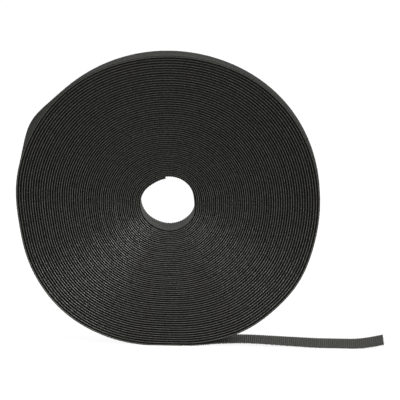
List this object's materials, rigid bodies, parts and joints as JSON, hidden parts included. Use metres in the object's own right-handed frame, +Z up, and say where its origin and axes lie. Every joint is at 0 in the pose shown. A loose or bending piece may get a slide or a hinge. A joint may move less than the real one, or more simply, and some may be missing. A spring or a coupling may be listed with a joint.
{
  "type": "hook and loop tape roll",
  "caption": "Flat coreless roll of charcoal woven hook and loop tape standing on its edge, with a free tail that lifts off the floor and presses back onto the roll.",
  "frame": {"origin": "on the floor under the roll's axis, at the middle of the tape's width, on the flat that the roll stands on", "axes": "+Z up, +X the way the free tail runs, +Y along the roll's axis to the back; seen from the front (-Y) the tape winds outwards counter-clockwise"},
  "size_m": [0.2962, 0.02, 0.2417],
  "materials": {
    "woven_tape": "matte charcoal nylon, woven, with fuzzy loop pile on the outer side",
    "hook_face": "charcoal nylon web with rows of fine stiff hooks"
  },
  "bodies": {
    "roll": {"inner_turn": "hook_face", "middle_wraps": "woven_tape", "outer_wraps": "woven_tape"},
    "stretch_1": {"tail_1": "hook_face"},
    "stretch_2": {"tail_2": "hook_face"},
    "stretch_3": {"tail_3": "hook_face"},
    "stretch_4": {"tail_4": "hook_face"},
    "stretch_5": {"tail_5": "hook_face"},
    "stretch_6": {"tail_6": "hook_face"}
  },
  "joints": [
    {"name": "tail_wrap", "type": "hinge", "parent": "roll", "child": "stretch_1", "pos_m": [0.02105, 0, 0.0006], "axis": [0, -1, 0], "range_deg": [0, 5.8]},
    {"name": "tail_bend_2", "type": "hinge", "parent": "stretch_1", "child": "stretch_2", "pos_m": [0.0421, 0, 0.00225], "axis": [0, -1, 0], "range_deg": [0, 12.5]},
    {"name": "tail_bend_3", "type": "hinge", "parent": "stretch_2", "child": "stretch_3", "pos_m": [0.06321, 0, 0.00315], "axis": [0, -1, 0], "range_deg": [0, 18.2]},
    {"name": "end_lift", "type": "hinge", "parent": "stretch_3", "child": "stretch_4", "pos_m": [0.08432, 0, 0.00235], "axis": [0, -1, 0], "range_deg": [0, 11.8]},
    {"name": "end_bend_5", "type": "hinge", "parent": "stretch_4", "child": "stretch_5", "pos_m": [0.10541, 0, 0.00115], "axis": [0, -1, 0], "range_deg": [0, 8.1]},
    {"name": "end_bend_6", "type": "hinge", "parent": "stretch_5", "child": "stretch_6", "pos_m": [0.12653, 0, 0.00055], "axis": [0, -1, 0], "range_deg": [0, 12.5]}
  ],
  "couplings": [
    {"joint": "tail_bend_2", "follows": "tail_wrap", "ratio": 2.1},
    {"joint": "tail_bend_3", "follows": "tail_wrap", "ratio": 3.05},
    {"joint": "end_bend_5", "follows": "end_lift", "ratio": 0.66},
    {"joint": "end_bend_6", "follows": "end_lift", "ratio": 1.02}
  ]
}
